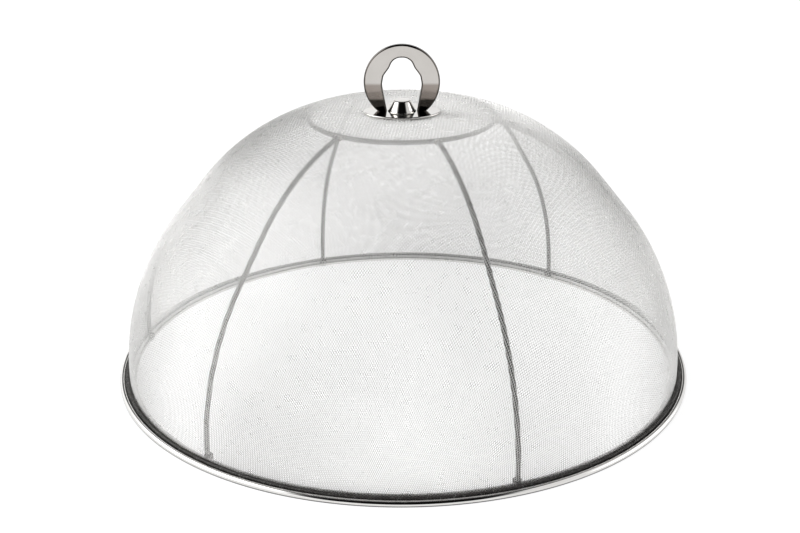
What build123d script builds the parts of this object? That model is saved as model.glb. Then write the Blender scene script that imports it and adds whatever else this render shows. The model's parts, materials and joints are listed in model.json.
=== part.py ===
"""Domed wire-mesh food cover with an upright ring handle.

The cover stands on its rim. The origin is the centre of the rim's underside, +Z is up, and the
handle plate lies in the XZ plane. All sizes are millimetres and degrees.
"""

import os
from math import atan2, degrees, radians, tan

from build123d import *

# Rim: a formed sheet channel with a rolled outer bead
rim_diameter = 300.0
rim_sheet = 0.8
bead_radius = 1.55
bead_height = 2.5
bead_edge_height = 0.55
inner_lip_height = 1.2

# Dark ring that clamps the mesh foot in the channel
clamp_width = 1.75
clamp_height = 2.1
clamp_edge_round = 0.5

# Mesh dome, measured on its outside
top_height = 135.5
mesh_thickness = 0.55
mesh_foot_gap = 0.2
plateau_radius = 48.0
crown_slope = 17.0
crown_run = 36.0
waist_height = 48.0
crown_bend = 10.0
shoulder_bend = 110.0
waist_bend = 120.0

# Wire frame inside the mesh
hoop_wire = 1.6
rib_wire = 2.4
crown_wire = 2.4
crown_setback = 1.5
rib_count = 6
first_rib_angle = -69.2
weld_gap = 0.4
weld_radius = 2.0
weld_height = 2.4
weld_round = 0.8
crown_weld_drop = 0.25
foot_weld_shift = 0.8

# Handle
handle_radius = 19.0
handle_thickness = 3.2
handle_edge_round = 0.9
handle_foot_half_width = 12.1
opening_top = 12.3
opening_top_half_width = 4.0
neck_height = 7.1
neck_half_width = 6.3
shoulder_height = 3.3
shoulder_half_width = 9.1
belly_height = -1.1
belly_half_width = 9.9
opening_foot_half_width = 7.5
opening_top_round = 5.4
neck_round = 4.0
shoulder_round = 4.0
belly_round = 7.0
tenon_width = 2.6
tenon_thickness = 1.8
base_length = 38.6
base_depth = 28.0
base_thickness = 1.0
base_edge_round = 0.45
boss_foot_radius = 7.1
boss_wall_height = 0.25
boss_top_radius = 4.5
boss_height = 5.5
boss_top_round = 1.1
boss_bore_depth = 4.2

# Fastening of the handle through the mesh
screw_diameter = 4.0
screw_head_diameter = 8.0
screw_head_height = 2.4
screw_head_round = 1.2
screw_slot_width = 1.1
screw_slot_depth = 1.2
screw_tip_gap = 0.4
washer_diameter = 7.2
washer_thickness = 1.0
washer_slit = 0.8
disc_diameter = 34.0
disc_thickness = 1.0
disc_edge_round = 0.3

# Fits
clearance = 0.15
mesh_gap = 0.35
screw_clearance = 0.15
weld_fit = 0.15
fillet_share = 0.98

# Places that follow from the sizes above
rim_radius = rim_diameter / 2
bead_centre_radius = rim_radius - bead_radius
bead_inner_radius = rim_radius - 2 * bead_radius
bead_centre_height = bead_height - bead_radius
clamp_outer_radius = bead_inner_radius - clearance
clamp_inner_radius = clamp_outer_radius - clamp_width
foot_radius = clamp_inner_radius - clearance
foot_height = rim_sheet + mesh_foot_gap
frame_inset = mesh_thickness + mesh_gap + max(rib_wire, crown_wire) / 2
frame_foot_radius = foot_radius - frame_inset
hoop_radius = foot_radius - mesh_thickness - mesh_gap - hoop_wire / 2
hoop_height = rim_sheet + hoop_wire / 2 + clearance
lip_outer_radius = hoop_radius - hoop_wire / 2 - clearance
rim_inner_radius = lip_outer_radius - rim_sheet
crown_ring_radius = plateau_radius - crown_setback
crown_ring_height = top_height - frame_inset
rib_start_radius = crown_ring_radius + crown_wire / 2 + weld_gap
rib_end_height = hoop_height + hoop_wire / 2 + weld_gap
base_top = top_height + base_thickness
handle_centre_rise = (handle_radius**2 - handle_foot_half_width**2) ** 0.5
handle_centre_height = base_top + handle_centre_rise
screw_bore_radius = screw_diameter / 2 + screw_clearance
disc_top = top_height - mesh_thickness
disc_bottom = disc_top - disc_thickness
washer_bottom = disc_bottom - washer_thickness
rib_angles = [first_rib_angle + index * 360 / rib_count for index in range(rib_count)]

# Corners of the dome's outline: the flat top, the crown slope, the cone and the upright foot
slope_step = Vector(crown_run, 0).rotate(Axis.Z, -crown_slope)
plateau_corner = Vector(plateau_radius, top_height)
shoulder_corner = plateau_corner + slope_step
waist_corner = Vector(foot_radius, waist_height)
cone_run = waist_corner - shoulder_corner
cone_slope = degrees(atan2(-cone_run.Y, cone_run.X))
foot_slope = 90.0

# The dome's bends are no larger than the runs beside them allow
crown_turn = tan(radians(crown_slope / 2))
shoulder_turn = tan(radians((cone_slope - crown_slope) / 2))
waist_turn = tan(radians((foot_slope - cone_slope) / 2))
shoulder_limit = fillet_share * (crown_run - crown_bend * crown_turn) / shoulder_turn
shoulder_radius = min(shoulder_bend, shoulder_limit)
cone_left = cone_run.length - shoulder_radius * shoulder_turn
foot_run = waist_height - rib_end_height
waist_radius = min(waist_bend, fillet_share * min(cone_left, foot_run) / waist_turn)


def inset_corner(corner, slope_before, slope_after, inset):
    """A corner of the dome's outline, moved inwards so that both runs beside it move by inset."""
    before = Vector(0, -1).rotate(Axis.Z, -slope_before)
    after = Vector(0, -1).rotate(Axis.Z, -slope_after)
    moved = corner + (before + after) * (inset / (1 + before.dot(after)))
    return (moved.X, moved.Y)


def dome_corners(inset):
    """The three corners of the dome's outline at a depth of inset below its outside."""
    return [
        inset_corner(plateau_corner, 0, crown_slope, inset),
        inset_corner(shoulder_corner, crown_slope, cone_slope, inset),
        inset_corner(waist_corner, cone_slope, foot_slope, inset),
    ]


def radial_plane(angle):
    """The upright plane through the axis at an angle from +X: local X points outwards, local Y up."""
    outwards = Vector(1, 0, 0).rotate(Axis.Z, angle)
    return Plane(origin=(0, 0, 0), x_dir=outwards, z_dir=Vector(0, -1, 0).rotate(Axis.Z, angle))


def finish(builder, name):
    """Label a finished piece and write it to its own file."""
    builder.part.label = name
    export_step(builder.part, f"parts/{name}.step")


os.makedirs("parts", exist_ok=True)

# Rim channel: inner lip, floor and rolled bead
with BuildPart() as rim_channel:
    with BuildSketch(Plane.XZ):
        with BuildLine():
            inside = Polyline(
                (rim_inner_radius, 0),
                (rim_inner_radius, inner_lip_height),
                (lip_outer_radius, inner_lip_height),
                (lip_outer_radius, rim_sheet),
                (bead_inner_radius, rim_sheet),
                (bead_inner_radius, bead_centre_height),
            )
            over_bead = ThreePointArc(
                inside @ 1,
                (bead_centre_radius, bead_height),
                (rim_radius, bead_centre_height),
            )
            edge = Polyline(
                over_bead @ 1,
                (rim_radius, bead_edge_height),
                (rim_radius - rim_sheet, bead_edge_height),
                (rim_radius - rim_sheet, bead_centre_height),
            )
            under_bead = ThreePointArc(
                edge @ 1,
                (bead_centre_radius, bead_height - rim_sheet),
                (bead_inner_radius + rim_sheet, bead_centre_height),
            )
            Polyline(under_bead @ 1, (bead_inner_radius + rim_sheet, 0), inside @ 0)
        make_face()
    revolve(axis=Axis.Z)
finish(rim_channel, "rim_channel")

# Clamp ring: a band between the mesh foot and the bead, rounded along its top
with BuildPart() as clamp_ring:
    with BuildSketch(Plane.XZ) as clamp_section:
        with Locations((clamp_inner_radius, rim_sheet)):
            Rectangle(clamp_width, clamp_height, align=(Align.MIN, Align.MIN))
        upper_corners = clamp_section.vertices().sort_by(Axis.Y)[2:]
        fillet(upper_corners, radius=clamp_edge_round)
    revolve(axis=Axis.Z)
finish(clamp_ring, "clamp_ring")

# Base hoop: a wire ring on the channel's floor, inside the mesh
with BuildPart() as base_hoop:
    with Locations((0, 0, hoop_height)):
        Torus(hoop_radius, hoop_wire / 2)
finish(base_hoop, "base_hoop")

# Mesh dome: the space that the woven cloth fills, two wires thick
with BuildPart() as mesh_dome:
    with BuildSketch(Plane.XZ):
        with BuildLine():
            outside = FilletPolyline(
                (screw_bore_radius, top_height),
                *dome_corners(0),
                (foot_radius, foot_height),
                radius=[crown_bend, shoulder_radius, waist_radius],
            )
            underside = FilletPolyline(
                (screw_bore_radius, top_height - mesh_thickness),
                *dome_corners(mesh_thickness),
                (foot_radius - mesh_thickness, foot_height),
                radius=[bend - mesh_thickness for bend in (crown_bend, shoulder_radius, waist_radius)],
            )
            Line(outside @ 0, underside @ 0)
            Line(outside @ 1, underside @ 1)
        make_face()
    revolve(axis=Axis.Z)
finish(mesh_dome, "mesh_dome")

# Crown ring: a wire ring under the edge of the flat top
with BuildPart() as crown_ring:
    with Locations((0, 0, crown_ring_height)):
        Torus(crown_ring_radius, crown_wire / 2)
finish(crown_ring, "crown_ring")

# Ribs: bent wires that follow the mesh from the crown ring down to the base hoop
plateau_inset, shoulder_inset, waist_inset = dome_corners(frame_inset)
rib_fall = (rib_start_radius - plateau_inset[0]) * tan(radians(crown_slope))
rib_start = (rib_start_radius, plateau_inset[1] - rib_fall)
rib_end = (frame_foot_radius, rib_end_height)
for number, angle in enumerate(rib_angles, start=1):
    with BuildPart() as rib:
        with BuildLine(radial_plane(angle)) as rib_path:
            FilletPolyline(
                rib_start,
                shoulder_inset,
                waist_inset,
                rib_end,
                radius=[shoulder_radius - frame_inset, waist_radius - frame_inset],
            )
        with BuildSketch(Plane(origin=rib_path.line @ 0, z_dir=rib_path.line % 0)):
            Circle(rib_wire / 2)
        sweep()
    finish(rib, f"rib_{number}")

# Crown welds: a bead round each joint of a rib and the crown ring
rib_run = Vector(1, 0).rotate(Axis.Z, -crown_slope)
with BuildPart() as crown_weld:
    with BuildSketch(Plane.XY.offset(crown_ring_height - crown_weld_drop - weld_height / 2)):
        with Locations((crown_ring_radius + crown_wire / 2, 0)):
            Circle(weld_radius)
    extrude(amount=weld_height)
    fillet(crown_weld.faces().filter_by(Axis.Z).edges(), radius=weld_round)
    with BuildSketch(Plane(origin=(rib_start[0], 0, rib_start[1]), z_dir=(rib_run.X, 0, rib_run.Y))):
        Circle(rib_wire / 2 + weld_fit)
    extrude(amount=2 * weld_radius, mode=Mode.SUBTRACT)
    with Locations((0, 0, crown_ring_height)):
        Torus(crown_ring_radius, crown_wire / 2 + weld_fit, mode=Mode.SUBTRACT)
with BuildPart() as crown_welds:
    with PolarLocations(0, rib_count, start_angle=first_rib_angle):
        add(crown_weld.part)
finish(crown_welds, "crown_welds")

# Foot welds: a bead inside each joint of a rib and the base hoop
with BuildPart() as foot_weld:
    with BuildSketch(Plane.XY.offset(rib_end_height - weld_height / 2)):
        with Locations((frame_foot_radius - foot_weld_shift, 0)):
            Circle(weld_radius)
    extrude(amount=weld_height)
    fillet(foot_weld.faces().sort_by(Axis.Z)[-1].edges(), radius=weld_round)
    with BuildSketch(Plane.XY.offset(rib_end_height)):
        with Locations((frame_foot_radius, 0)):
            Circle(rib_wire / 2 + weld_fit)
    extrude(amount=weld_height, mode=Mode.SUBTRACT)
    with Locations((0, 0, hoop_height)):
        Torus(hoop_radius, hoop_wire / 2 + weld_fit, mode=Mode.SUBTRACT)
with BuildPart() as foot_welds:
    with PolarLocations(0, rib_count, start_angle=first_rib_angle):
        add(foot_weld.part)
finish(foot_welds, "foot_welds")

# Handle plate: an upright ring with a bell-shaped opening, two feet and two tenons
tenon_centre = (opening_foot_half_width + handle_foot_half_width) / 2
with BuildPart() as handle_plate:
    with BuildSketch(Plane(origin=(0, 0, handle_centre_height), x_dir=(1, 0, 0), z_dir=(0, -1, 0))):
        Circle(handle_radius)
        with BuildLine():
            FilletPolyline(
                (opening_foot_half_width, -handle_radius),
                (opening_foot_half_width, -handle_centre_rise),
                (belly_half_width, belly_height),
                (shoulder_half_width, shoulder_height),
                (neck_half_width, neck_height),
                (opening_top_half_width, opening_top),
                (-opening_top_half_width, opening_top),
                (-neck_half_width, neck_height),
                (-shoulder_half_width, shoulder_height),
                (-belly_half_width, belly_height),
                (-opening_foot_half_width, -handle_centre_rise),
                (-opening_foot_half_width, -handle_radius),
                close=True,
                radius=[
                    0,
                    0,
                    belly_round,
                    shoulder_round,
                    neck_round,
                    opening_top_round,
                    opening_top_round,
                    neck_round,
                    shoulder_round,
                    belly_round,
                    0,
                    0,
                ],
            )
        make_face(mode=Mode.SUBTRACT)
        with Locations((0, -handle_centre_rise)):
            Rectangle(2 * handle_radius, handle_radius, align=(Align.CENTER, Align.MAX), mode=Mode.SUBTRACT)
    extrude(amount=handle_thickness / 2, both=True)
    broad_faces = handle_plate.faces().sort_by(Axis.Y)
    outlines = broad_faces[0].edges() + broad_faces[-1].edges()
    fillet(outlines.filter_by(lambda edge: edge.center().Z > base_top + clearance), radius=handle_edge_round)
    with BuildSketch(Plane.XY.offset(base_top)):
        with Locations((tenon_centre, 0), (-tenon_centre, 0)):
            Rectangle(tenon_width, tenon_thickness)
    extrude(amount=-base_thickness)
finish(handle_plate, "handle_plate")

# Handle base: an oval plate on the flat of the mesh, pierced for the screw and the tenons
with BuildPart() as handle_base:
    with BuildSketch(Plane.XY.offset(top_height)):
        Ellipse(base_length / 2, base_depth / 2)
        Circle(screw_bore_radius, mode=Mode.SUBTRACT)
        with Locations((tenon_centre, 0), (-tenon_centre, 0)):
            Rectangle(tenon_width + 2 * clearance, tenon_thickness + 2 * clearance, mode=Mode.SUBTRACT)
    extrude(amount=base_thickness)
    rim_edge = handle_base.faces().sort_by(Axis.Z)[-1].outer_wire().edges()
    fillet(rim_edge, radius=base_edge_round)
finish(handle_base, "handle_base")

# Handle boss: a bell-shaped nut between the feet
with BuildPart() as handle_boss:
    with BuildSketch(Plane.XZ):
        with BuildLine():
            bell = FilletPolyline(
                (boss_foot_radius, base_top + boss_wall_height),
                (boss_top_radius, base_top + boss_height),
                (0, base_top + boss_height),
                radius=boss_top_round,
            )
            Polyline(bell @ 1, (0, base_top), (boss_foot_radius, base_top), bell @ 0)
        make_face()
    revolve(axis=Axis.Z)
    with BuildSketch(Plane.XY.offset(base_top)):
        Circle(screw_bore_radius)
    extrude(amount=boss_bore_depth, mode=Mode.SUBTRACT)
finish(handle_boss, "handle_boss")

# Clamp disc: under the flat of the mesh, it spreads the pull of the handle
with BuildPart() as clamp_disc:
    with BuildSketch(Plane.XY.offset(disc_bottom)):
        Circle(disc_diameter / 2)
        Circle(screw_bore_radius, mode=Mode.SUBTRACT)
    extrude(amount=disc_thickness)
    lower_edge = clamp_disc.faces().sort_by(Axis.Z)[0].outer_wire().edges()
    fillet(lower_edge, radius=disc_edge_round)
finish(clamp_disc, "clamp_disc")

# Spring washer: a split ring between the disc and the screw head
with BuildPart() as spring_washer:
    with BuildSketch(Plane.XY.offset(washer_bottom)):
        Circle(washer_diameter / 2)
        Circle(screw_bore_radius, mode=Mode.SUBTRACT)
        Rectangle(washer_diameter, washer_slit, align=(Align.MIN, Align.CENTER), mode=Mode.SUBTRACT)
    extrude(amount=washer_thickness)
finish(spring_washer, "spring_washer")

# Handle screw: a slotted pan head below the washer, its shank up into the boss
with BuildPart() as handle_screw:
    with BuildSketch(Plane.XY.offset(washer_bottom)):
        Circle(screw_head_diameter / 2)
    extrude(amount=-screw_head_height)
    head_face = handle_screw.faces().sort_by(Axis.Z)[0]
    fillet(head_face.edges(), radius=screw_head_round)
    with BuildSketch(Plane.XY.offset(washer_bottom)):
        Circle(screw_diameter / 2)
    extrude(amount=base_top + boss_bore_depth - screw_tip_gap - washer_bottom)
    with BuildSketch(Plane.XY.offset(washer_bottom - screw_head_height)):
        Rectangle(screw_head_diameter, screw_slot_width)
    extrude(amount=screw_slot_depth, mode=Mode.SUBTRACT)
finish(handle_screw, "handle_screw")
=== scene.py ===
import json
import math

import bpy
import numpy as np
from mathutils import Euler, Matrix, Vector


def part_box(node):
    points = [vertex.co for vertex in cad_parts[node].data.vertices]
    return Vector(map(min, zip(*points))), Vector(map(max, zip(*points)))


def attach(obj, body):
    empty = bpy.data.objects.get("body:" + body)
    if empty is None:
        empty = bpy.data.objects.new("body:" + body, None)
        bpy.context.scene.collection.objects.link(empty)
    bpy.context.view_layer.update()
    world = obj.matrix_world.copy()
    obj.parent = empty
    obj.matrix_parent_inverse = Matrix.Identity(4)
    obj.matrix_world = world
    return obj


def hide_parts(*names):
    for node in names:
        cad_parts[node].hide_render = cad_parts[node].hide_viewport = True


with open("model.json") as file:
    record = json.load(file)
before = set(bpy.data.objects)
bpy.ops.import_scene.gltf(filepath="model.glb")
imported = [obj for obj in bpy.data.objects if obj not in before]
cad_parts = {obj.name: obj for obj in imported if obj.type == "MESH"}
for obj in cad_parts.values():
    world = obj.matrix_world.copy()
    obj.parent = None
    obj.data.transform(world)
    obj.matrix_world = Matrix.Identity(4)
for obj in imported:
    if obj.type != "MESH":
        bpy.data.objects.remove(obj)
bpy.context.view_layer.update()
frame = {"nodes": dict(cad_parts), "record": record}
scene = bpy.context.scene

# Units
MM = 0.001

# Image size in pixels, and the camera that sees the object as the photograph does
IMAGE_WIDTH = 800
FOCAL_PIXELS = 1287.5
SENSOR_WIDTH = 36.0
NEAREST_SEEN = 10.0 * MM
EYE = (0.0, -628.0 * MM, 304.3 * MM)
PITCH_DOWN = math.radians(21.869)
TURN_RIGHT = math.radians(-0.128)
ROLL = math.radians(-0.308)

# Woven cloth
MESH_PITCH = 1.09 * MM
STRAND_RADIUS = 0.115 * MM
CRIMP = 0.115 * MM
STRAND_SIDES = 6
CLOTH_THICKNESS = 0.55 * MM
CLOTH_TURN = math.radians(40.0)
CLOTH_PIECES = 8
CENTRE_HOLE = 2.6 * MM
CLOTH_EDGE_HEIGHT = 1.0 * MM
SPARE_CROSSINGS = 4
NEWTON_ROUNDS = 8

# Outline of the dome, as pressed
PLATEAU_RADIUS = 48.0 * MM
CROWN_SLOPE = math.radians(17.0)
CROWN_RUN = 36.0 * MM
WAIST_HEIGHT = 48.0 * MM
CROWN_BEND = 10.0 * MM
SHOULDER_BEND = 110.0 * MM
WAIST_BEND = 120.0 * MM
BELOW_FLOOR = 30.0 * MM
OUTLINE_STEP = 0.25 * MM
CLOTH_ARC_POINTS = 60

# Section of the rim
RIM_SHEET = 0.8 * MM
BEAD_RADIUS = 1.55 * MM
BEAD_EDGE_HEIGHT = 0.55 * MM
LIP_HEIGHT = 1.2 * MM
SHEET_EDGE_ROUND = 0.06 * MM
SAME_POINT = SHEET_EDGE_ROUND / 100
RIM_STEPS = 720
TURNED_ARC_POINTS = 9

# Edge of the cloth, turned over the dark ring and darkened as painted shade: its strands take so
# many steps from one crossing to the next
HEM_SPACING = 1.54 * MM
HEM_GAP = 0.25 * MM
HEM_BEND = 0.75 * MM
HEM_DROP = 0.8 * MM
HEM_CROSSINGS = 3
HEM_STEPS = 2

# Handle: how far up its foot the painted dark reflection of the base and cloth reaches, and the
# range of a normal's part along Y over which a cut edge, painted dark in place of the reflections
# along it, becomes a broad side
HEAT_REACH = 14.6 * MM
BROAD_SIDE_FACING = (0.955, 0.998)

# Section of the boss under the handle
BOSS_TOP_RADIUS = 4.45 * MM
BOSS_TOP_ROUND = 1.1 * MM
BOSS_NECK_RADIUS = 6.55 * MM
BOSS_NECK_HEIGHT = 0.95 * MM
BOSS_NECK_ROUND = 1.0 * MM
BOSS_EDGE = 0.25 * MM
BOSS_BORE_RADIUS = 2.15 * MM
BOSS_BORE_DEPTH = 4.2 * MM
BOSS_STEPS = 192

# Range of a noise's values that tones and roughness are spread over
NOISE_RANGE = (0.3, 0.7)

# Dull and bright tones of polished steel on the handle, and a lighter copy of them on the rim
HANDLE_TONES = ((0.560, 0.545, 0.525), (0.610, 0.595, 0.575))
# The rim's copy is painted light: the same steel made lighter, so that the floor mirrored in its
# bead reads white
RIM_TONES = ((0.690, 0.680, 0.665), (0.740, 0.730, 0.715))

# Floor: its glow where it is seen, its grey in shade, the light that it throws back, and the
# reach and range of the painted contact shadow, a dark line where the object stands on it
FLOOR_HALF = 8.0
FLOOR_GLOW = 0.90
FLOOR_SHADED = 0.22
FLOOR_BOUNCE = 0.85
CONTACT_REACH = 5.0 * MM
CONTACT_RANGE = (0.20, 0.56)

# Walls of the room: their levels left and right, and the sideways range over which they blend
WALL_LEVELS = (1.4, 1.0)
WALL_BLEND = (-0.25, 0.25)

# Patches of the room: each is a direction in degrees, left to right and upwards, with the angles
# from it where the patch begins to fade and where it ends
DARK_FRONT = (0.0, 40.0, 30.0, 42.0)
DARK_LEVEL = 0.065
LIGHT_LEFT = (-93.0, 34.0, 18.0, 36.0)
LIGHT_LEFT_LEVEL = 2.5
LIGHT_RIGHT = (100.0, 12.0, 16.0, 30.0)
LIGHT_RIGHT_LEVEL = 1.8

# Dark arch from front to back overhead: how far it leans to the front, the range of height over
# which it begins, and the range to either side over which it ends
ARCH_LEAN = 0.133
ARCH_BEGINS = (0.20, 0.34)
ARCH_ENDS = (0.40, 0.60)


# Outlines


def rounded_outline(start, corners, end, arc_points):
    """Points from start to end by way of corners, each a place with the radius of its bend."""
    places = np.array([start, *[corner[:2] for corner in corners], end])
    points = [places[0]]
    for before, place, after, corner in zip(places, places[1:], places[2:], corners):
        bend = corner[2]
        back = (before - place) / np.linalg.norm(before - place)
        ahead = (after - place) / np.linalg.norm(after - place)
        middle = (back + ahead) / np.linalg.norm(back + ahead)
        half = math.acos(back @ ahead) / 2
        centre = place + middle * bend / math.sin(half)
        first = place + back * bend / math.tan(half) - centre
        last = place + ahead * bend / math.tan(half) - centre
        sweep = math.pi - 2 * half
        share = np.linspace(0, 1, arc_points)[:, None]
        arc = np.sin((1 - share) * sweep) * first + np.sin(share * sweep) * last
        points.extend(centre + arc / math.sin(sweep))
    points.append(places[-1])
    return np.array(points)


def lengths_along(points):
    """The length along a line of points up to each of them."""
    steps = np.linalg.norm(np.diff(points, axis=0), axis=1)
    return np.concatenate([[0.0], np.cumsum(steps)])


def turned(radius, height, turn):
    """Points or directions of a radius and a height, turned about Z."""
    return np.stack([radius * np.cos(turn), radius * np.sin(turn), height + 0 * turn], -1)


def inside_radius(node):
    """The radius of the hole through a round CAD node."""
    vertices = frame["nodes"][node].data.vertices
    return min(math.hypot(vertex.co.x, vertex.co.y) for vertex in vertices)


def inset(corner, slope_before, slope_after, depth):
    """The corner of an outline moved inwards by depth, square to both of its slopes."""
    before = np.array([-math.sin(slope_before), -math.cos(slope_before)])
    after = np.array([-math.sin(slope_after), -math.cos(slope_after)])
    return np.array(corner) + (before + after) * depth / (1 + before @ after)


def dome_outline():
    """Radius and height of the cloth's middle against the length along it from the apex."""
    _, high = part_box("mesh_dome")
    foot, top, depth = high.x, high.z, CLOTH_THICKNESS / 2
    crown = (PLATEAU_RADIUS, top)
    shoulder = (
        PLATEAU_RADIUS + CROWN_RUN * math.cos(CROWN_SLOPE),
        top - CROWN_RUN * math.sin(CROWN_SLOPE),
    )
    waist = (foot, WAIST_HEIGHT)
    wall_slope = math.atan2(shoulder[1] - waist[1], waist[0] - shoulder[0])
    corners = [
        (*inset(crown, 0.0, CROWN_SLOPE, depth), CROWN_BEND - depth),
        (*inset(shoulder, CROWN_SLOPE, wall_slope, depth), SHOULDER_BEND - depth),
        (*inset(waist, wall_slope, math.pi / 2, depth), WAIST_BEND - depth),
    ]
    end = (foot - depth, -BELOW_FLOOR)
    points = rounded_outline((0.0, top - depth), corners, end, CLOTH_ARC_POINTS)
    along = lengths_along(points)
    length = np.arange(0.0, along[-1], OUTLINE_STEP)
    radius = np.interp(length, along, points[:, 0])
    height = np.interp(length, along, points[:, 1])
    return {
        "length": length,
        "radius": radius,
        "height": height,
        "radius_rate": np.gradient(radius, OUTLINE_STEP),
        "height_rate": np.gradient(height, OUTLINE_STEP),
    }


def rim_outline():
    """Radius and height round the rim's section, from the middle of its underside back to it."""
    _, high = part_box("rim_channel")
    inner, outer, top = inside_radius("rim_channel"), high.x, high.z
    lip, bead = inner + RIM_SHEET, outer - 2 * BEAD_RADIUS
    under, edge, ceiling = bead + RIM_SHEET, outer - RIM_SHEET, top - RIM_SHEET
    corners = [
        (inner, 0.0, SHEET_EDGE_ROUND),
        (inner, LIP_HEIGHT, SHEET_EDGE_ROUND),
        (lip, LIP_HEIGHT, SHEET_EDGE_ROUND),
        (lip, RIM_SHEET, SHEET_EDGE_ROUND),
        (bead, RIM_SHEET, SHEET_EDGE_ROUND),
        (bead, top, BEAD_RADIUS),
        (outer, top, BEAD_RADIUS),
        (outer, BEAD_EDGE_HEIGHT, SHEET_EDGE_ROUND),
        (edge, BEAD_EDGE_HEIGHT, SHEET_EDGE_ROUND),
        (edge, ceiling, BEAD_RADIUS - RIM_SHEET),
        (under, ceiling, BEAD_RADIUS - RIM_SHEET),
        (under, 0.0, SHEET_EDGE_ROUND),
    ]
    start = ((inner + under) / 2, 0.0)
    points = rounded_outline(start, corners, start, TURNED_ARC_POINTS)[1:]
    apart = np.linalg.norm(points - np.roll(points, 1, axis=0), axis=1)
    return points[apart > SAME_POINT]


def boss_outline():
    """Radius and height of the boss's section, from the middle of its top to that of its bore."""
    low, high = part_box("handle_boss")
    bore_top = low.z + BOSS_BORE_DEPTH
    corners = [
        (BOSS_TOP_RADIUS, high.z, BOSS_TOP_ROUND),
        (BOSS_NECK_RADIUS, low.z + BOSS_NECK_HEIGHT, BOSS_NECK_ROUND),
        (high.x, low.z + BOSS_EDGE, SHEET_EDGE_ROUND),
        (high.x, low.z, SHEET_EDGE_ROUND),
        (BOSS_BORE_RADIUS, low.z, SHEET_EDGE_ROUND),
        (BOSS_BORE_RADIUS, bore_top, SHEET_EDGE_ROUND),
    ]
    return rounded_outline((0.0, high.z), corners, (0.0, bore_top), TURNED_ARC_POINTS)


def hem_outline():
    """Radius and height along the cloth's edge, from the dark ring's top down beside the bead."""
    _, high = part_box("clamp_ring")
    outer, top = high.x + HEM_GAP, high.z + HEM_GAP
    start, end = (inside_radius("clamp_ring"), top), (outer, high.z - HEM_DROP)
    points = rounded_outline(start, [(outer, top, HEM_BEND)], end, CLOTH_ARC_POINTS)
    along = lengths_along(points)
    length = np.linspace(0.0, along[-1], HEM_CROSSINGS * HEM_STEPS + 1)
    return np.interp(length, along, points[:, 0]), np.interp(length, along, points[:, 1])


# Net of the cloth


def on_dome(outline, length, key):
    """One of the outline's values at a length from the apex."""
    return np.interp(length, outline["length"], outline[key])


def dome_point(outline, length, turn):
    """Points of the dome at a length from the apex and a turn about its axis."""
    return turned(on_dome(outline, length, "radius"), on_dome(outline, length, "height"), turn)


def next_crossing(outline, length, turn, one, other):
    """Points of the dome that lie one pitch from both neighbours, found by Newton's method."""
    for _ in range(NEWTON_ROUNDS):
        point = dome_point(outline, length, turn)
        radius = on_dome(outline, length, "radius")
        out = on_dome(outline, length, "radius_rate")
        up = on_dome(outline, length, "height_rate")
        by_length, by_turn = turned(out, up, turn), turned(radius, 0.0, turn + math.pi / 2)
        gaps = np.stack([point - one, point - other], -2)
        misfit = (gaps**2).sum(-1) - MESH_PITCH**2
        rates = 2 * gaps @ np.stack([by_length, by_turn], -1)
        change = np.linalg.solve(rates, misfit[..., None])[..., 0]
        length, turn = length - change[:, 0], turn - change[:, 1]
    return length, turn


def drape_quadrant(outline):
    """Length and turn of each crossing of a square net laid over a quarter of the dome."""
    foot = np.interp(-CLOTH_EDGE_HEIGHT, -outline["height"], outline["length"])
    count = int(foot / MESH_PITCH) + SPARE_CROSSINGS
    length, turn = np.full((count, count), np.nan), np.full((count, count), np.nan)
    row, column = np.meshgrid(np.arange(count), np.arange(count), indexing="ij")
    distance = np.hypot(row, column) * MESH_PITCH
    on_axis = (row == 0) | (column == 0)
    known = on_axis | (distance < PLATEAU_RADIUS - CROWN_BEND / 2)
    length[known] = distance[known]
    turn[known] = np.arctan2(column, row)[known]
    for diagonal in range(2, 2 * count - 1):
        rows = np.arange(max(1, diagonal - count + 1), min(diagonal, count))
        columns = diagonal - rows
        carried = (length[rows - 1, columns] < foot) & (length[rows, columns - 1] < foot)
        unlaid = carried & np.isnan(length[rows, columns])
        if not unlaid.any():
            continue
        here = rows[unlaid], columns[unlaid]
        above, beside = (here[0] - 1, here[1]), (here[0], here[1] - 1)
        across = here[0] - 1, here[1] - 1
        length[here], turn[here] = next_crossing(
            outline,
            length[above] + length[beside] - length[across],
            turn[above] + turn[beside] - turn[across],
            dome_point(outline, length[above], turn[above]),
            dome_point(outline, length[beside], turn[beside]),
        )
    length[length > foot] = np.nan
    return length, turn


def whole_net(outline):
    """Points, normals and places in the weave of the net's crossings over the whole dome."""
    length, turn = drape_quadrant(outline)
    reach = len(length) - 1
    number = np.arange(-reach, reach + 1)
    row, column = np.meshgrid(number, number, indexing="ij")
    length, turn = length[abs(row), abs(column)], turn[abs(row), abs(column)]
    across = np.where(row < 0, -1, 1) * np.cos(turn)
    along = np.where(column < 0, -1, 1) * np.sin(turn)
    cosine, sine = math.cos(CLOTH_TURN), math.sin(CLOTH_TURN)
    x, y = across * cosine - along * sine, across * sine + along * cosine
    radius, height = on_dome(outline, length, "radius"), on_dome(outline, length, "height")
    out, up = -on_dome(outline, length, "height_rate"), on_dome(outline, length, "radius_rate")
    points = np.stack([radius * x, radius * y, height], -1)
    normals = np.stack([out * x, out * y, up], -1)
    laid = ~np.isnan(length) & (radius > CENTRE_HOLE)
    over = np.where((row + column) % 2 == 0, 1.0, -1.0)[..., None]
    return points, normals, laid, over


def strands(points, normals, laid):
    """Unbroken runs of laid crossings down each column of a net, as points with normals."""
    runs = []
    for column in range(laid.shape[1]):
        rows = np.flatnonzero(laid[:, column])
        for run in np.split(rows, np.flatnonzero(np.diff(rows) > 1) + 1):
            if len(run) > 1:
                runs.append((points[run, column], normals[run, column]))
    return runs


def shared_out(runs, shares):
    """The runs in order, in that many groups of about as many points each."""
    points_so_far = np.cumsum([len(points) for points, _ in runs])
    group = (points_so_far - 1) * shares // points_so_far[-1]
    return [[run for run, g in zip(runs, group) if g == share] for share in range(shares)]


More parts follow.
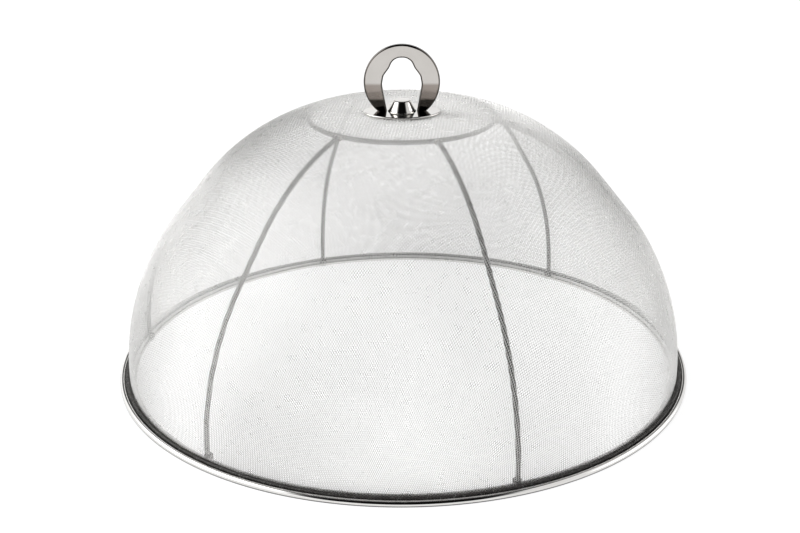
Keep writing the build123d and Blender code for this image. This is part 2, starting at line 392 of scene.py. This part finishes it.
def hem_strands():
    """Strands of the cloth's edge, which cross each other slantwise over the dark ring."""
    radius, height = hem_outline()
    step = np.arange(len(radius))
    count = int(2 * math.pi * radius.max() / HEM_SPACING)
    spacing = 2 * math.pi / count
    wave = CRIMP * np.cos(step * math.pi / HEM_STEPS)[:, None]
    slope = np.arctan2(-np.gradient(height), np.gradient(radius))
    runs = []
    for lean in (1, -1):
        for strand in range(count):
            turn = (strand + lean * step / (2 * HEM_STEPS)) * spacing
            normal = turned(np.sin(slope), np.cos(slope), turn)
            runs.append((turned(radius, height, turn) + lean * wave * normal, normal))
    return runs


# Meshes


def mesh_object(name, vertices, face_groups):
    """A smooth mesh object from vertices and arrays of faces, mapped by its view from above."""
    mesh = bpy.data.meshes.new(name)
    corners = np.concatenate([faces.ravel() for faces in face_groups])
    sizes = np.concatenate([np.full(len(faces), faces.shape[1]) for faces in face_groups])
    mesh.vertices.add(len(vertices))
    mesh.vertices.foreach_set("co", vertices.astype(np.float32).ravel())
    mesh.loops.add(len(corners))
    mesh.loops.foreach_set("vertex_index", corners.astype(np.int32))
    mesh.polygons.add(len(sizes))
    mesh.polygons.foreach_set("loop_start", (np.cumsum(sizes) - sizes).astype(np.int32))
    mesh.update(calc_edges=True)
    mesh.polygons.foreach_set("use_smooth", np.ones(len(sizes), bool))
    flat = vertices[:, :2]
    mapped = (flat - flat.min(0)) / (flat.max(0) - flat.min(0))
    layer = mesh.uv_layers.new(name="OFBake")
    layer.data.foreach_set("uv", mapped[corners].astype(np.float32).ravel())
    made = bpy.data.objects.new(name, mesh)
    scene.collection.objects.link(made)
    return made


def tubes(name, runs, radius, sides):
    """An object of closed round tubes, one along each run of points with normals."""
    points = np.concatenate([run[0] for run in runs])
    normals = np.concatenate([run[1] for run in runs])
    counts = np.array([len(run[0]) for run in runs])
    last = np.cumsum(counts) - 1
    first = last - counts + 1
    index = np.arange(len(points))
    ahead, back = index + 1, index - 1
    ahead[last], back[first] = last, first
    forward = points[ahead] - points[back]
    forward /= np.linalg.norm(forward, axis=1, keepdims=True)
    normals = normals - (normals * forward).sum(1, keepdims=True) * forward
    normals /= np.linalg.norm(normals, axis=1, keepdims=True)
    beside = np.cross(forward, normals)
    angle = (np.arange(sides) * 2 * math.pi / sides)[None, :, None]
    ring = np.cos(angle) * normals[:, None, :] + np.sin(angle) * beside[:, None, :]
    vertices = (points[:, None, :] + radius * ring).reshape(-1, 3)
    side = np.arange(sides)
    following = (side + 1) % sides
    start = np.delete(index, last)[:, None] * sides
    end = start + sides
    walls = np.stack([start + side, start + following, end + following, end + side], -1)
    caps = np.concatenate([first[:, None] * sides + side[::-1], last[:, None] * sides + side])
    return mesh_object(name, vertices, [walls.reshape(-1, 4), caps])


def rings(outline, steps):
    """The points of an outline of radius and height, each turned about Z to a ring."""
    turn = np.arange(steps) * 2 * math.pi / steps
    return turned(outline[:, :1], outline[:, 1:], turn).reshape(-1, 3)


def bands(rows, next_rows, steps):
    """The faces between each ring and its next one, both given by their rows in the outline."""
    step = np.arange(steps)
    next_step = (step + 1) % steps
    start, end = rows[:, None] * steps, next_rows[:, None] * steps
    faces = np.stack([start + step, end + step, end + next_step, start + next_step], -1)
    return faces.reshape(-1, 4)


def lathe(name, outline, steps):
    """An object of revolution about Z from a closed outline of radius and height."""
    rows = np.arange(len(outline))
    return mesh_object(name, rings(outline, steps), [bands(rows, np.roll(rows, -1), steps)])


def spindle(name, outline, steps):
    """An object of revolution about Z from an outline that begins and ends on the axis."""
    rows = np.arange(len(outline) - 2)
    poles = np.array([[0.0, 0.0, outline[0, 1]], [0.0, 0.0, outline[-1, 1]]])
    vertices = np.concatenate([rings(outline[1:-1], steps), poles])
    step = np.arange(steps)
    next_step, last = (step + 1) % steps, rows[-1] * steps
    top = np.full(steps, len(rows) * steps)
    fans = np.concatenate([
        np.stack([top, step, next_step], -1),
        np.stack([top + 1, last + next_step, last + step], -1),
    ])
    return mesh_object(name, vertices, [bands(rows[:-1], rows[1:], steps), fans])


# Shader nodes


def node_material(name):
    """A new material with its node tree and its shader."""
    material = bpy.data.materials.new(name)
    material.use_nodes = True
    tree = material.node_tree
    return material, tree, tree.nodes["Principled BSDF"]


def coordinate(tree, kind):
    """A point's place, normal or direction, as a vector of the texture coordinates."""
    return tree.nodes.new("ShaderNodeTexCoord").outputs[kind]


def component(tree, vector, axis):
    """One of the three parts of a vector."""
    parts = tree.nodes.new("ShaderNodeSeparateXYZ")
    tree.links.new(vector, parts.inputs["Vector"])
    return parts.outputs[axis]


def along_axis(tree, vector, axis):
    """How far a vector goes along an axis."""
    product = tree.nodes.new("ShaderNodeVectorMath")
    product.operation = "DOT_PRODUCT"
    product.inputs[1].default_value = axis
    tree.links.new(vector, product.inputs[0])
    return product.outputs["Value"]


def unsigned(tree, value):
    """A value without its sign."""
    node = tree.nodes.new("ShaderNodeMath")
    node.operation = "ABSOLUTE"
    tree.links.new(value, node.inputs[0])
    return node.outputs["Value"]


def joined(tree, operation, one, other):
    """Two values joined by an operation, such as a sum or a product."""
    node = tree.nodes.new("ShaderNodeMath")
    node.operation = operation
    tree.links.new(one, node.inputs[0])
    tree.links.new(other, node.inputs[1])
    return node.outputs["Value"]


def spread(tree, value, start, end, before=0.0, after=1.0, interpolation="LINEAR"):
    """A value that goes from before to after between start and end, and stays there outside."""
    node = tree.nodes.new("ShaderNodeMapRange")
    node.interpolation_type = interpolation
    node.inputs["From Min"].default_value = start
    node.inputs["From Max"].default_value = end
    node.inputs["To Min"].default_value = before
    node.inputs["To Max"].default_value = after
    tree.links.new(value, node.inputs["Value"])
    return node.outputs["Result"]


def smooth_step(tree, value, start, end, before, after):
    """A value that goes smoothly from before to after between start and end."""
    return spread(tree, value, start, end, before, after, "SMOOTHSTEP")


def noise(tree, scale, detail, stretch=(1.0, 1.0, 1.0)):
    """Noise in the object's own space. The scale is in patches per metre."""
    mapping = tree.nodes.new("ShaderNodeMapping")
    mapping.inputs["Scale"].default_value = stretch
    texture = tree.nodes.new("ShaderNodeTexNoise")
    texture.inputs["Scale"].default_value = scale
    texture.inputs["Detail"].default_value = detail
    tree.links.new(coordinate(tree, "Object"), mapping.inputs["Vector"])
    tree.links.new(mapping.outputs["Vector"], texture.inputs["Vector"])
    return texture.outputs["Fac"]


def colours_from(tree, value, stops):
    """A colour that runs through the stops, each a place from 0 to 1 and a colour."""
    ramp = tree.nodes.new("ShaderNodeValToRGB")
    elements = ramp.color_ramp.elements
    while len(elements) < len(stops):
        elements.new(0.5)
    for element, (position, colour) in zip(elements, stops):
        element.position = position
        element.color = (*colour, 1.0)
    tree.links.new(value, ramp.inputs["Fac"])
    return ramp.outputs["Color"]


def tint(tree, shader, value, stops):
    """Colours the shader's surface by the value."""
    tree.links.new(colours_from(tree, value, stops), shader.inputs["Base Color"])


def roughen(tree, shader, value, low, high):
    """Makes the shader's surface rougher where the noise is higher."""
    tree.links.new(spread(tree, value, *NOISE_RANGE, low, high), shader.inputs["Roughness"])


def relief(material, strength, depth, scale, detail, stretch=(1.0, 1.0, 1.0)):
    """Bumps the material's surface by a noise, up to depth in metres."""
    tree = material.node_tree
    bump = tree.nodes.new("ShaderNodeBump")
    bump.inputs["Strength"].default_value = strength
    bump.inputs["Distance"].default_value = depth
    tree.links.new(noise(tree, scale, detail, stretch), bump.inputs["Height"])
    tree.links.new(bump.outputs["Normal"], tree.nodes["Principled BSDF"].inputs["Normal"])


def polishing_lines(material):
    """Marks the material's surface with the fine lines that polishing leaves."""
    stretch = (0.15, 1.0, 4.0)
    relief(material, strength=0.05, depth=0.02 * MM, scale=500.0, detail=2.0, stretch=stretch)


def mottled(name, metallic, tones, patches, roughness, smears):
    """A material in patches of the tones and smears of the roughness.

    Patches and smears are each the scale and the detail of a noise.
    """
    material, tree, shader = node_material(name)
    shader.inputs["Metallic"].default_value = metallic
    stops = list(zip(np.linspace(*NOISE_RANGE, len(tones)), tones))
    tint(tree, shader, noise(tree, *patches), stops)
    roughen(tree, shader, noise(tree, *smears), *roughness)
    return material


# Materials


def polished_steel(name, tones):
    """Mirror-polished steel with a faint cloudiness and fine polishing lines."""
    material = mottled(
        name,
        metallic=1.0,
        tones=tones,
        patches=(70.0, 3.0),
        roughness=(0.05, 0.10),
        smears=(160.0, 4.0),
    )
    polishing_lines(material)
    return material


def wire_steel():
    """Drawn wire with a fine grain, darker than the other steel as painted shade for the ribs and
    crown ring behind the cloth.
    """
    material = mottled(
        "wire_steel",
        metallic=1.0,
        tones=[(0.120, 0.116, 0.111), (0.165, 0.161, 0.156)],
        patches=(120.0, 4.0),
        roughness=(0.08, 0.14),
        smears=(300.0, 3.0),
    )
    relief(material, strength=0.10, depth=0.02 * MM, scale=1500.0, detail=2.0)
    return material


def satin_steel():
    """Wire of the hoop, pale and nearly matt as painted light, in place of the light it misses in
    the cloth's shade.
    """
    return mottled(
        "satin_steel",
        metallic=0.2,
        tones=[(0.800, 0.795, 0.785), (0.860, 0.855, 0.845)],
        patches=(120.0, 4.0),
        roughness=(0.48, 0.60),
        smears=(300.0, 3.0),
    )


def weld_steel():
    """Dull weld metal with brown and blue-grey heat tints."""
    material = mottled(
        "weld_steel",
        metallic=1.0,
        tones=[(0.20, 0.17, 0.14), (0.38, 0.36, 0.34), (0.46, 0.46, 0.47)],
        patches=(600.0, 4.0),
        roughness=(0.32, 0.52),
        smears=(900.0, 3.0),
    )
    relief(material, strength=0.5, depth=0.15 * MM, scale=1400.0, detail=3.0)
    return material


def woven_steel():
    """Plain stainless strands of the cloth, duller in patches from the press."""
    return mottled(
        "woven_steel",
        metallic=1.0,
        tones=[(0.710, 0.705, 0.695), (0.780, 0.775, 0.765)],
        patches=(45.0, 4.0),
        roughness=(0.24, 0.36),
        smears=(200.0, 3.0),
    )


def black_paint():
    """Satin black, a little uneven."""
    material = mottled(
        "black_paint",
        metallic=0.0,
        tones=[(0.010, 0.009, 0.008), (0.020, 0.018, 0.016)],
        patches=(300.0, 3.0),
        roughness=(0.30, 0.45),
        smears=(500.0, 3.0),
    )
    relief(material, strength=0.15, depth=0.05 * MM, scale=1200.0, detail=2.0)
    return material


def blackened_wire():
    """Wire of the hem, darkened as painted shade, and of the welds at the foot, darkened as a
    painted dark reflection; still bright enough to glint.
    """
    return mottled(
        "blackened_wire",
        metallic=1.0,
        tones=[(0.080, 0.076, 0.072), (0.230, 0.224, 0.218)],
        patches=(700.0, 3.0),
        roughness=(0.18, 0.30),
        smears=(500.0, 3.0),
    )


def broad_side(tree):
    """From 1 on the two broad sides of an upright plate along X to 0 on its cut edges."""
    facing = unsigned(tree, component(tree, coordinate(tree, "Normal"), "Y"))
    return spread(tree, facing, *BROAD_SIDE_FACING)


def heat_tint(tree):
    """Painted reflection: from dark at the plate's foot, standing in for the base and cloth
    mirrored there, to 1 above its reach.
    """
    _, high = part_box("handle_base")
    height = component(tree, coordinate(tree, "Object"), "Z")
    share = spread(tree, height, high.z, high.z + HEAT_REACH)
    levels = [(0.38, 0.08), (0.46, 0.40), (0.90, 0.47), (1.00, 1.00)]
    return colours_from(tree, share, [(position, (level,) * 3) for position, level in levels])


def stamped_steel():
    """Polished plate with painted shade: dark cut edges in place of their dark reflections, and a
    dark foot in place of the base mirrored in it.
    """
    material, tree, shader = node_material("stamped_steel")
    shader.inputs["Metallic"].default_value = 1.0
    cloud = spread(tree, noise(tree, scale=70.0, detail=3.0), *NOISE_RANGE, 0.85, 1.0)
    # Painted shade: the cut edges go dark in place of the dark reflections along the plate's
    # rounded edges; the cloud is random tone
    polish = joined(tree, "MULTIPLY", broad_side(tree), cloud)
    stops = [
        (0.00, (0.090, 0.082, 0.075)),
        (0.07, (0.028, 0.025, 0.022)),
        (0.40, (0.290, 0.255, 0.230)),
        (0.85, (0.525, 0.503, 0.478)),
        (1.00, (0.575, 0.552, 0.527)),
    ]
    # Painted reflection: the foot goes dark and brown up to its reach, in place of the base and
    # cloth mirrored in it
    tint(tree, shader, joined(tree, "MULTIPLY", polish, heat_tint(tree)), stops)
    roughen(tree, shader, noise(tree, scale=160.0, detail=4.0), 0.06, 0.12)
    polishing_lines(material)
    return material


# Studio


def mixed_by_ray(tree, shown, unshown, output, kinds):
    """Sends one shader to the output for the named kinds of ray and another for the rest."""
    path = tree.nodes.new("ShaderNodeLightPath")
    share = path.outputs[kinds[0]]
    for kind in kinds[1:]:
        share = joined(tree, "MAXIMUM", share, path.outputs[kind])
    mix = tree.nodes.new("ShaderNodeMixShader")
    tree.links.new(share, mix.inputs["Fac"])
    tree.links.new(unshown, mix.inputs[1])
    tree.links.new(shown, mix.inputs[2])
    tree.links.new(mix.outputs["Shader"], output.inputs["Surface"])


def matt(tree, level):
    """A plain matt shader of a grey level."""
    shader = tree.nodes.new("ShaderNodeBsdfDiffuse")
    shader.inputs["Color"].default_value = (level, level, level, 1.0)
    return shader.outputs["BSDF"]


def floor_material():
    """White paper: bright where it is seen or mirrored, and it still takes the object's shadow."""
    material, tree, shader = node_material("floor_white")
    tree.nodes.remove(shader)
    # Painted contact shadow: the glow is dimmed where the ambient occlusion finds the object close
    # above
    contact = tree.nodes.new("ShaderNodeAmbientOcclusion")
    contact.inputs["Distance"].default_value = CONTACT_REACH
    lit = spread(tree, contact.outputs["AO"], *CONTACT_RANGE, 0.0, FLOOR_GLOW)
    glow = tree.nodes.new("ShaderNodeEmission")
    tree.links.new(lit, glow.inputs["Strength"])
    seen = tree.nodes.new("ShaderNodeAddShader")
    tree.links.new(glow.outputs["Emission"], seen.inputs[0])
    tree.links.new(matt(tree, FLOOR_SHADED), seen.inputs[1])
    kinds = ["Is Camera Ray", "Is Glossy Ray", "Is Transmission Ray"]
    output = tree.nodes["Material Output"]
    mixed_by_ray(tree, seen.outputs["Shader"], matt(tree, FLOOR_BOUNCE), output, kinds)
    return material


def room_patch(tree, direction, patch, inside, outside):
    """A value that goes from outside to inside where the direction nears the patch's middle."""
    across, up, core, edge = (math.radians(angle) for angle in patch)
    middle = (math.sin(across) * math.cos(up), -math.cos(across) * math.cos(up), math.sin(up))
    nearness = along_axis(tree, direction, middle)
    return smooth_step(tree, nearness, math.cos(edge), math.cos(core), outside, inside)


def room_arch(tree, direction, sideways):
    """A value that is 1 over the room and falls in a dark arch from front to back overhead."""
    rise = along_axis(tree, direction, (0.0, -ARCH_LEAN, 1.0))
    overhead = smooth_step(tree, rise, *ARCH_BEGINS, 0.0, 1.0)
    between = smooth_step(tree, unsigned(tree, sideways), *ARCH_ENDS, 1.0, 0.0)
    both = joined(tree, "MULTIPLY", overhead, between)
    return smooth_step(tree, both, 0.0, 1.0, 1.0, DARK_LEVEL)


def studio_world():
    """A white room, dark in front and in an arch overhead, with a bright patch on either side."""
    world = bpy.data.worlds.new("studio")
    world.use_nodes = True
    tree = world.node_tree
    tree.nodes.clear()
    direction = coordinate(tree, "Generated")
    sideways = component(tree, direction, "X")
    plain = smooth_step(tree, sideways, *WALL_BLEND, *WALL_LEVELS)
    front = room_patch(tree, direction, DARK_FRONT, DARK_LEVEL, 1.0)
    arch = room_arch(tree, direction, sideways)
    walls = joined(tree, "MULTIPLY", plain, joined(tree, "MULTIPLY", front, arch))
    left = room_patch(tree, direction, LIGHT_LEFT, LIGHT_LEFT_LEVEL, 0.0)
    right = room_patch(tree, direction, LIGHT_RIGHT, LIGHT_RIGHT_LEVEL, 0.0)
    lights = joined(tree, "ADD", left, right)
    room = tree.nodes.new("ShaderNodeBackground")
    tree.links.new(joined(tree, "ADD", walls, lights), room.inputs["Color"])
    backdrop = tree.nodes.new("ShaderNodeBackground")
    backdrop.inputs["Color"].default_value = (1.0, 1.0, 1.0, 1.0)
    output = tree.nodes.new("ShaderNodeOutputWorld")
    kinds = ["Is Camera Ray", "Is Transmission Ray"]
    mixed_by_ray(tree, backdrop.outputs["Background"], room.outputs["Background"], output, kinds)
    scene.world = world


def floor():
    """A plain white floor under the object."""
    signs = np.array([[-1, -1, 0], [1, -1, 0], [1, 1, 0], [-1, 1, 0]])
    sheet = mesh_object("floor", FLOOR_HALF * signs, [np.array([[0, 1, 2, 3]])])
    sheet.data.materials.append(floor_material())


def camera():
    """The photograph's camera."""
    lens = bpy.data.cameras.new("camera")
    lens.sensor_width = SENSOR_WIDTH
    lens.lens = SENSOR_WIDTH * FOCAL_PIXELS / IMAGE_WIDTH
    lens.clip_start = NEAREST_SEEN
    holder = bpy.data.objects.new("camera", lens)
    heading = Euler((math.pi / 2 - PITCH_DOWN, 0.0, -TURN_RIGHT)).to_matrix().to_4x4()
    holder.matrix_world = Matrix.Translation(EYE) @ heading @ Matrix.Rotation(ROLL, 4, "Z")
    scene.collection.objects.link(holder)
    scene.camera = holder


# Pieces


def finish_cad_nodes(by_slot, by_node):
    """Gives each CAD node a material of its own, where it has one, or that of its slot."""
    for subpart in frame["record"]["subparts"]:
        material = by_node.get(subpart["node"], by_slot[subpart["material_slot"]])
        for material_slot in frame["nodes"][subpart["node"]].material_slots:
            material_slot.material = material


def rolled_rim(material):
    """The rim channel, round all the way, in place of its faceted CAD shape."""
    rim = lathe("rim_rolled", rim_outline(), RIM_STEPS)
    rim.data.materials.append(material)
    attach(rim, "root")
    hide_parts("rim_channel")


def turned_boss(material):
    """The boss under the handle, with a hollowed foot, in place of its plain CAD cone."""
    boss = spindle("boss_turned", boss_outline(), BOSS_STEPS)
    boss.data.materials.append(material)
    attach(boss, "root")
    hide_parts("handle_boss")


def woven_cloth(material):
    """The dome's strands, over and under each other, in place of its plain shell."""
    points, normals, laid, over = whole_net(dome_outline())
    lifted = over * CRIMP * normals
    warp = strands(points + lifted, normals, laid)
    weft = strands(*[array.swapaxes(0, 1) for array in (points - lifted, normals, laid)])
    for family, runs in (("warp", warp), ("weft", weft)):
        for number, group in enumerate(shared_out(runs, CLOTH_PIECES), start=1):
            piece = tubes(f"mesh_{family}_{number}", group, STRAND_RADIUS, STRAND_SIDES)
            piece.data.materials.append(material)
            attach(piece, "root")
            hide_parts("mesh_dome")


def cloth_hem(material):
    """The edge of the cloth, turned over the dark ring."""
    hem = tubes("mesh_hem", hem_strands(), STRAND_RADIUS, STRAND_SIDES)
    hem.data.materials.append(material)
    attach(hem, "root")


# Painted shade: the hem and the welds at the foot of the ribs are darkened in place of the shade
# and dark reflections there
blackened = blackened_wire()
slot_materials = {
    "polished_steel": polished_steel("polished_steel", HANDLE_TONES),
    "wire_steel": wire_steel(),
    "weld_steel": weld_steel(),
    "woven_mesh": woven_steel(),
    "dark_ring": black_paint(),
}
node_materials = {
    "handle_plate": stamped_steel(),
    # The hoop's pale tone is painted light
    "base_hoop": satin_steel(),
    "foot_welds": blackened,
}
finish_cad_nodes(slot_materials, node_materials)
# The rim takes the lighter copy of the polished steel, as painted light
rolled_rim(polished_steel("lit_rim_steel", RIM_TONES))
turned_boss(slot_materials["polished_steel"])
woven_cloth(slot_materials["woven_mesh"])
cloth_hem(blackened)

floor()
studio_world()
camera()
scene.view_settings.view_transform = "Standard"
